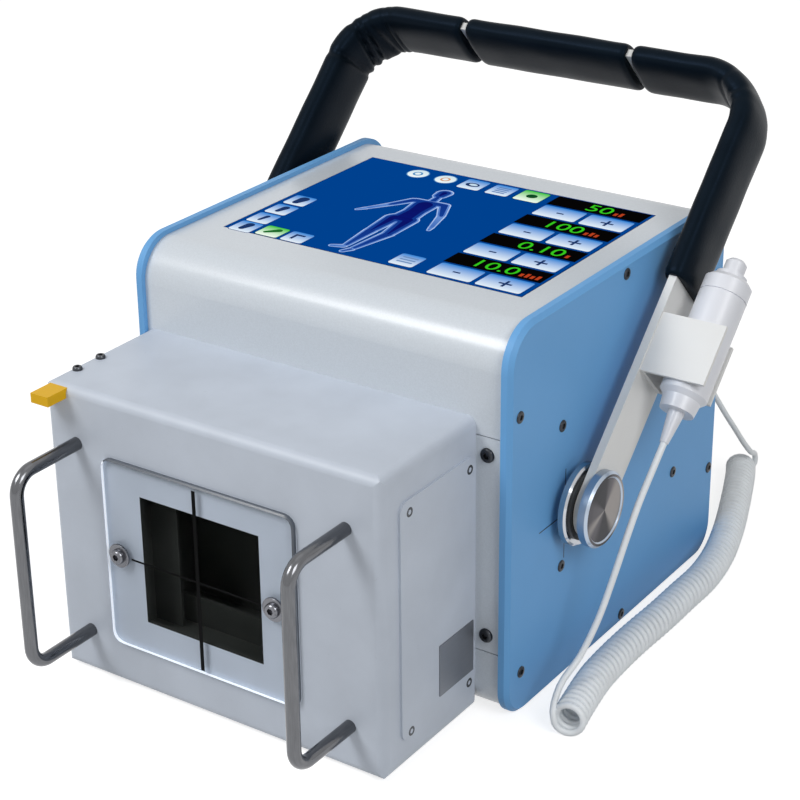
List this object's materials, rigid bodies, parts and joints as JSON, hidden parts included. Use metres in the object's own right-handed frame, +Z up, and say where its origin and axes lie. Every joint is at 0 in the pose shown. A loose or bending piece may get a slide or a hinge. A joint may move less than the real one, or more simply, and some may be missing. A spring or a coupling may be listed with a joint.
{
  "type": "portable x-ray machine",
  "caption": "Box-shaped portable x-ray unit with top touch screen, front beam limiter with guard rods, tilting carry handle and corded hand switch.",
  "frame": {"origin": "centre of the base's underside, in the middle of its four threaded holes, where the machine stands", "axes": "+X to the machine's right as seen from its front, the beam leaves towards -Y, +Z up"},
  "size_m": [0.3463, 0.5123, 0.3323],
  "materials": {
    "pearl_paint": "pearl white paint, semi-gloss",
    "blue_paint": "light blue satin paint",
    "cool_white_paint": "fine textured bluish white powder coat",
    "warm_white_paint": "warm white satin paint",
    "screen": "lit touch screen under clear glass",
    "dark_plastic": "dark moulded plastic",
    "housing_metal": "plain cast housing",
    "black_metal": "matt black paint",
    "clear_plastic": "clear acrylic",
    "stainless_rod": "drawn stainless rod",
    "turned_steel": "turned stainless steel, radially brushed face",
    "polished_steel": "polished",
    "yellow_plastic": "yellow moulded plastic",
    "grey_plate": "bare grey plate",
    "black_leather": "black padded leatherette",
    "white_plastic": "white moulded plastic",
    "white_cord": "white flexible cord jacket",
    "black_plastic": "black moulded plastic"
  },
  "bodies": {
    "root": {"hood": "pearl_paint", "front_plate": "pearl_paint", "back_plate": "pearl_paint", "base_tray": "pearl_paint", "side_panel_right": "blue_paint", "side_panel_left": "blue_paint", "screen_glass": "screen", "display_unit": "dark_plastic", "tube_housing": "housing_metal", "limiter_box": "cool_white_paint", "limiter_cover": "cool_white_paint", "light_tunnel": "black_metal", "shutter_leaves": "black_metal", "window_plate": "clear_plastic", "guard_left": "stainless_rod", "guard_right": "stainless_rod", "tape_tab": "yellow_plastic", "label_plate": "grey_plate", "pivot_washer_right": "polished_steel", "pivot_washer_left": "polished_steel", "pivot_spacer_right": "black_plastic", "pivot_spacer_left": "black_plastic", "pivot_knob_right": "turned_steel", "pivot_knob_left": "turned_steel", "cord_lead": "white_cord", "cord_coil": "white_cord", "cord_tail": "white_cord", "cord_gland": "dark_plastic", "mains_inlet": "black_plastic", "rocker_switch": "black_plastic"},
    "handle": {"handle_bar": "warm_white_paint", "grip_left": "black_leather", "grip_middle": "black_leather", "grip_right": "black_leather", "switch_clip": "warm_white_paint", "switch_body": "white_plastic", "switch_cap": "white_plastic", "switch_button": "white_plastic", "switch_relief": "white_cord"}
  },
  "joints": [
    {"name": "handle_tilt", "type": "hinge", "parent": "root", "child": "handle", "pos_m": [0, -0.061, 0.1165], "axis": [1, 0, 0], "range_deg": [-45, 90], "deforming": ["cord_lead"]}
  ]
}
